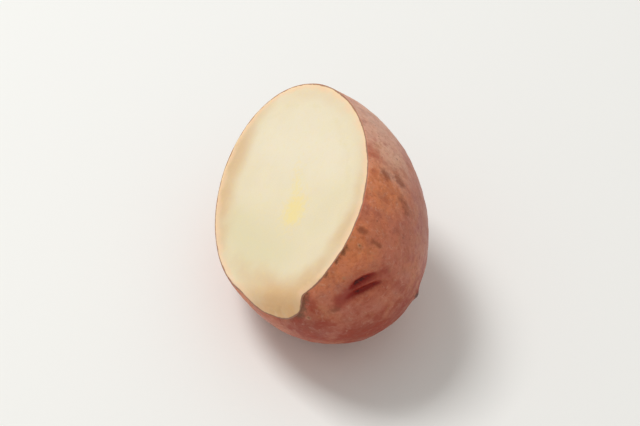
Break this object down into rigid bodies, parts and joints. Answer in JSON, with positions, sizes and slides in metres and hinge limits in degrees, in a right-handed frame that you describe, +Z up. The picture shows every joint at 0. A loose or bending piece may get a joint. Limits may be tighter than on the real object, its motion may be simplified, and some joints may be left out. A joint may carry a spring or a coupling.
{
  "type": "potato half",
  "caption": "Small red-skinned potato cut across with a knife: the larger part of it, lying on its skin, with the flat pale cut face leaning to one side.",
  "frame": {"origin": "middle of the small flat spot on the skin that the piece rests on, at floor level", "axes": "+Z up from the surface it rests on; +Y along the tuber's length, as seen from above; the cut face leans towards -X"},
  "size_m": [0.0431, 0.0576, 0.0417],
  "materials": {
    "potato": "thin red-brown skin with a soft sheen over cream flesh"
  },
  "bodies": {
    "root": {"potato_half": "potato"}
  },
  "joints": []
}
